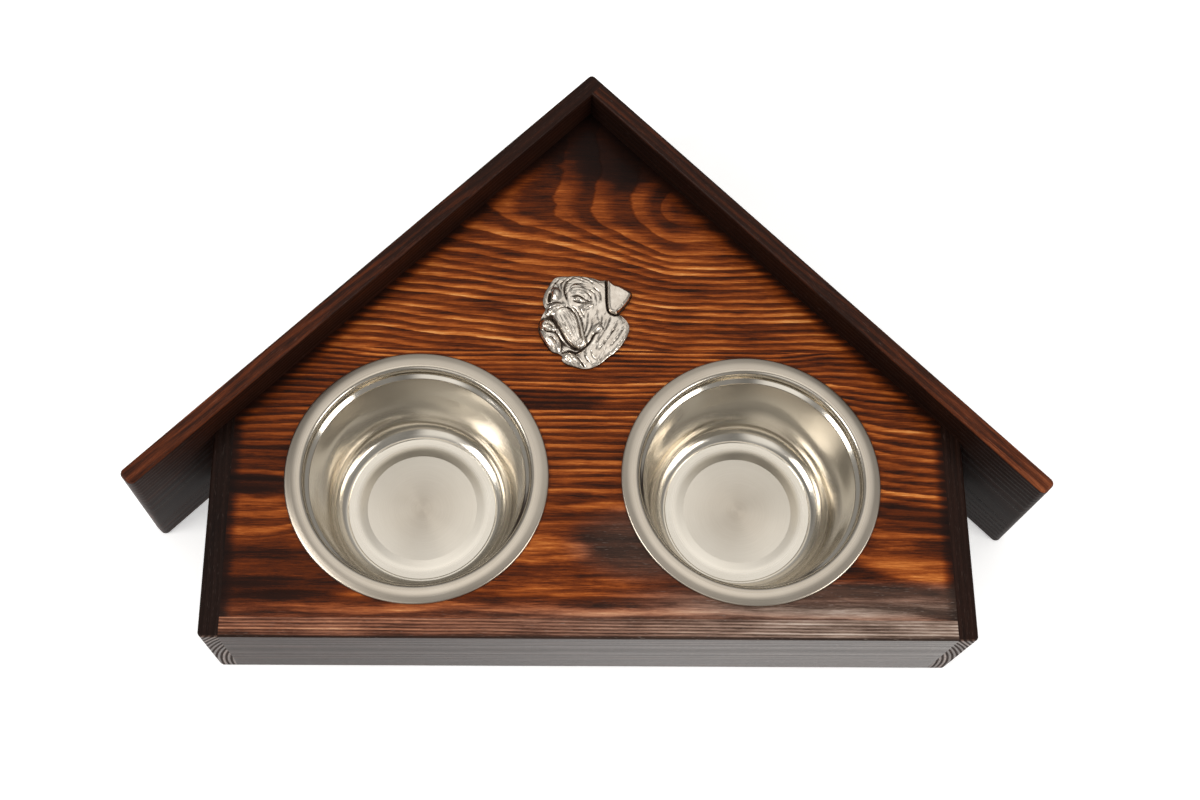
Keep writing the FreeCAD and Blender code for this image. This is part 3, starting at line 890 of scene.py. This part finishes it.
def head_height(u, v):
    """Height of the relief over its plane, in millimetres."""
    pool = np.full(u.shape, math.exp(SWELLING_SHARPNESS * HEAD_EDGE))
    for name, cu, cv, half_length, half_breadth, turn, top, fullness in HEAD_SWELLINGS:
        cosine = math.cos(math.radians(turn))
        sine = math.sin(math.radians(turn))
        du = (u - cu) * cosine + (v - cv) * sine
        dv = (v - cv) * cosine - (u - cu) * sine
        dome = np.clip(1 - (du / half_length) ** 2 - (dv / half_breadth) ** 2, 0, 1) ** fullness
        swelling = SWELLING_FOOT + (top - SWELLING_FOOT) * dome
        pool += np.where(dome > 0, np.exp(SWELLING_SHARPNESS * swelling), 0)
    height = np.log(pool) / SWELLING_SHARPNESS
    ear = depth_inside(u, v, smooth_line(EAR_OUTLINE, True))
    flap = 5.9 - 0.10 * (u - 14) - 0.02 * (v - 16)
    height = np.where(ear > 0, np.maximum(height, height + (flap - height) * eased(ear / 0.9)), height)
    beside_ear = eased(1 - np.abs(ear) / 1.1) * (ear <= 0)
    height = height - 1.3 * beside_ear
    for amount, half_width, points in HEAD_LINES:
        gap, share = distance_to(u, v, smooth_line(points, False))
        fade = eased(share / 0.18) * eased((1 - share) / 0.18)
        height = height + amount * (0.35 + 0.65 * fade) * np.exp(-(gap / half_width) ** 2)
    return height + hair_height(u, v, ear)


def hair_height(u, v, ear):
    """Short engraved hairs, steep on the neck and cheek, along the muzzle and round the brow."""
    total = np.zeros(u.shape)
    rng = np.random.default_rng(7)
    for i in range(HAIR_COUNT):
        cu, cv = rng.uniform(-28, 26), rng.uniform(-30, 30)
        if cu < -4 and cv < 8:
            lean = -62
        elif cv > 8:
            lean = math.degrees(math.atan2(cv - 14, cu + 5)) + 90
        else:
            lean = 58 + 14 * math.sin(cu / 5)
        turn = math.radians(lean + rng.uniform(-14, 14))
        depth = rng.uniform(0.10, 0.26)
        near = np.hypot(u - cu, v - cv) < 2 * HAIR_LENGTH
        du = (u[near] - cu) * math.cos(turn) + (v[near] - cv) * math.sin(turn)
        dv = (v[near] - cv) * math.cos(turn) - (u[near] - cu) * math.sin(turn)
        total[near] -= depth * np.exp(-(du / HAIR_LENGTH * 2) ** 2 - (dv / HAIR_HALF_WIDTH) ** 2)
    return np.where(ear > 0, 0.3 * total, total)


def blurred(values, reach):
    """Grid of values smoothed over a distance in grid steps."""
    steps = np.arange(-2 * reach, 2 * reach + 1)
    weights = np.exp(-(steps / reach) ** 2)
    weights /= weights.sum()
    for axis in (0, 1):
        margins = [(0, 0), (0, 0)]
        margins[axis] = (2 * reach, 2 * reach)
        padded = np.pad(values, margins, mode="edge")
        count = values.shape[axis]
        values = sum(w * np.take(padded, range(i, i + count), axis) for i, w in enumerate(weights))
    return values


def cast_texture(shape):
    """Small lumps of a sand casting, in millimetres."""
    rng = np.random.default_rng(11)
    fine = blurred(rng.normal(size=shape), 2)
    broad = blurred(rng.normal(size=shape), 6)
    return CAST_ROUGHNESS * (0.5 * fine / fine.std() + 0.5 * broad / broad.std())


def sampled(grid, low, u, v):
    """Values of a grid between its points."""
    gu = (u - low[0]) / HEAD_STEP
    gv = (v - low[1]) / HEAD_STEP
    iu = np.clip(gu.astype(int), 0, grid.shape[1] - 2)
    iv = np.clip(gv.astype(int), 0, grid.shape[0] - 2)
    fu, fv = gu - iu, gv - iv
    lower = grid[iv, iu] * (1 - fu) + grid[iv, iu + 1] * fu
    upper = grid[iv + 1, iu] * (1 - fu) + grid[iv + 1, iu + 1] * fu
    return lower * (1 - fv) + upper * fv


def around_outline(outline, middle, count):
    """Distance from the middle to the outline in evenly spaced directions."""
    spokes = outline - middle
    angles = np.unwrap(np.arctan2(spokes[:, 1], spokes[:, 0]))
    order = np.argsort(angles)
    wanted = angles.min() + np.arange(count) / count * 2 * math.pi
    return wanted, np.interp(wanted, angles[order], np.hypot(*spokes.T)[order], period=2 * math.pi)


def pewter():
    """Cast pewter, polished on its heights and dark with age in its hollows."""
    material, shader, (x, y, z) = new_material("emblem_pewter")
    tree = x.tree
    hollow = stored(tree, "hollow")
    speck = noise(x / 0.5, y / 0.5, z / 0.5, 3.0, 0.6)
    cloud = noise(x / 5, y / 5, z / 5, 2.0)
    dark = rise(hollow + (speck - 0.5) * 0.16 + (cloud - 0.5) * 0.2, 0.05, 0.62)
    bright = ramp(cloud, [(0.3, srgb(196, 185, 172)), (0.7, srgb(226, 217, 205))])
    connect(tree, mixed(bright, srgb(62, 51, 43), dark), shader.inputs["Base Color"])
    connect(tree, 0.17 + 0.10 * speck + 0.25 * dark, shader.inputs["Roughness"])
    shader.inputs["Metallic"].default_value = 1.0
    bump(shader, speck, 0.03)
    return material


def add_emblem():
    """The dog's head, as a mesh of rays from its middle to its outline with a closed back."""
    middle = np.array(HEAD_MIDDLE)
    outline = smooth_line(HEAD_OUTLINE, True, 16)
    angles, reaches = around_outline(outline, middle, HEAD_RAYS)
    shares = np.sin(np.linspace(0, 1, HEAD_RINGS + 1) * math.pi / 2) ** 0.85
    u = middle[0] + np.outer(shares[1:], reaches * np.cos(angles))
    v = middle[1] + np.outer(shares[1:], reaches * np.sin(angles))
    u = np.concatenate([[middle[0]], u.ravel()])
    v = np.concatenate([[middle[1]], v.ravel()])
    start = outline.min(0) - 2
    end = outline.max(0) + 2
    columns = np.arange(start[0], end[0], HEAD_STEP)
    rows = np.arange(start[1], end[1], HEAD_STEP)
    grid_u, grid_v = np.meshgrid(columns, rows)
    relief = head_height(grid_u, grid_v)
    edge = depth_inside(grid_u, grid_v, outline)
    rounding = np.sqrt(np.clip(edge / HEAD_ROUNDING, 0, 1))
    relief = HEAD_EDGE + (relief - HEAD_EDGE) * rounding + cast_texture(relief.shape)
    hollows = (blurred(relief, 5) - relief) + 0.5 * (blurred(relief, 14) - relief)
    height = sampled(relief, start, u, v)
    hollow = sampled(hollows, start, u, v)
    rim = np.arange(1 + (HEAD_RINGS - 1) * HEAD_RAYS, 1 + HEAD_RINGS * HEAD_RAYS)
    count = len(u)
    u = np.concatenate([u, u[rim], [middle[0]]])
    v = np.concatenate([v, v[rim], [middle[1]]])
    height = np.concatenate([height, np.zeros(HEAD_RAYS + 1)])
    hollow = np.concatenate([hollow, np.full(HEAD_RAYS + 1, 0.5)])
    faces = []
    for ring in range(HEAD_RINGS):
        for i in range(HEAD_RAYS):
            j = (i + 1) % HEAD_RAYS
            first = 1 + ring * HEAD_RAYS
            faces.append((first + i, first + HEAD_RAYS + i, first + HEAD_RAYS + j, first + j))
    for i in range(HEAD_RAYS):
        j = (i + 1) % HEAD_RAYS
        faces.append((0, 1 + i, 1 + j))
        faces.append((count + HEAD_RAYS, count + j, count + i))
    place = np.array([EMBLEM_X, FRONT + GLUE_LINE + EMBLEM_GAP, PANEL_TOP])
    points = (np.stack([u, v, height], 1) + place) * MM
    piece = build_piece("dog_head_relief", points, faces)
    attach_values(piece, "hollow", hollow)
    piece.data.materials.append(pewter())
    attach(piece, "stand")
    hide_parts("dog_head_emblem")


def look_direction():
    """The camera's right, up and forward directions."""
    yaw, pitch, roll = [math.radians(a) for a in (CAMERA_YAW, CAMERA_PITCH, CAMERA_ROLL)]
    level = math.cos(pitch)
    forward = Vector((math.sin(yaw) * level, math.cos(yaw) * level, math.sin(pitch)))
    right = forward.cross(Vector((0, 0, 1))).normalized()
    up = right.cross(forward)
    turned_right = math.cos(roll) * right + math.sin(roll) * up
    turned_up = math.cos(roll) * up - math.sin(roll) * right
    return turned_right, turned_up, forward


def add_camera():
    """Camera at the photograph's place and angle."""
    data = bpy.data.cameras.new("photo_camera")
    data.sensor_width = SENSOR_WIDTH
    data.lens = FOCAL_PIXELS * SENSOR_WIDTH / PHOTO_WIDTH
    camera = bpy.data.objects.new("photo_camera", data)
    right, up, forward = look_direction()
    rows = Matrix((right, up, -forward)).transposed().to_4x4()
    camera.matrix_world = Matrix.Translation(Vector(CAMERA_PLACE) * MM) @ rows
    bpy.context.scene.collection.objects.link(camera)
    bpy.context.scene.camera = camera


def add_softbox(name, place, target, size, power, colour=(1.0, 0.98, 0.95)):
    """Large rectangular light aimed at a point."""
    data = bpy.data.lights.new(name, "AREA")
    data.shape = "RECTANGLE"
    data.size, data.size_y = size
    data.energy = power
    data.color = colour
    light = bpy.data.objects.new(name, data)
    light.location = place
    light.rotation_euler = (Vector(target) - Vector(place)).to_track_quat("-Z", "Y").to_euler()
    bpy.context.scene.collection.objects.link(light)


def add_studio():
    """Pale floor, even surroundings and soft boxes."""
    floor = build_piece("floor", [(-4, -4, 0), (4, -4, 0), (4, 4, 0), (-4, 4, 0)], [(0, 1, 2, 3)], False)
    material, shader, (x, y, z) = new_material("pale_floor")
    grain = noise(x / 30, y / 30, z, 3.0)
    pale = ramp(grain, [(0.3, srgb(243, 243, 243)), (0.7, srgb(247, 247, 247))])
    connect(x.tree, pale, shader.inputs["Base Color"])
    shader.inputs["Roughness"].default_value = 0.7
    shader.inputs["Emission Color"].default_value = (1.0, 1.0, 1.0, 1.0)
    shader.inputs["Emission Strength"].default_value = 0.42
    floor.data.materials.append(material)
    add_sky()
    add_softbox("left_softbox", (-1.35, -0.5, 1.25), (0, 0, 0.08), (0.8, 0.7), 14)
    add_softbox("right_softbox", (1.3, -0.75, 0.8), (0, 0, 0.08), (0.8, 0.6), 10)


def add_sky():
    """Pale surroundings, brighter overhead, and darker to the left and where the photographer stands."""
    world = bpy.data.worlds.new("studio")
    world.use_nodes = True
    tree = world.node_tree
    background = tree.nodes["Background"]
    place = tree.nodes.new("ShaderNodeTexCoord")
    split = tree.nodes.new("ShaderNodeSeparateXYZ")
    tree.links.new(place.outputs["Generated"], split.inputs[0])
    x, y, z = [Field(tree, socket) for socket in split.outputs]
    above = x * 0.05 + y * 0.36 + z * 0.93
    person = rise(y, -0.20, -0.45) * rise(maths("ABSOLUTE", x + 0.05), 0.34, 0.18)
    aside = rise(x, -0.25, -0.55) * rise(z, 0.55, 0.8)
    window = rise(y, -0.35, -0.6) * rise(maths("ABSOLUTE", x + 0.25), 0.35, 0.15) * rise(z, 0.35, 0.55)
    strength = (0.34 + 0.80 * rise(above, 0.74, 0.96)) * (1 - 0.3 * person) * (1 - 0.5 * aside)
    strength = strength + 0.9 * window + 0.7 * rise(z, 0.96, 0.995)
    background.inputs["Color"].default_value = (1.0, 0.985, 0.96, 1.0)
    connect(tree, strength, background.inputs["Strength"])
    bpy.context.scene.world = world


dress_boards()
add_bowls()
add_emblem()
add_studio()
add_camera()
bpy.context.scene.view_settings.view_transform = "Standard"
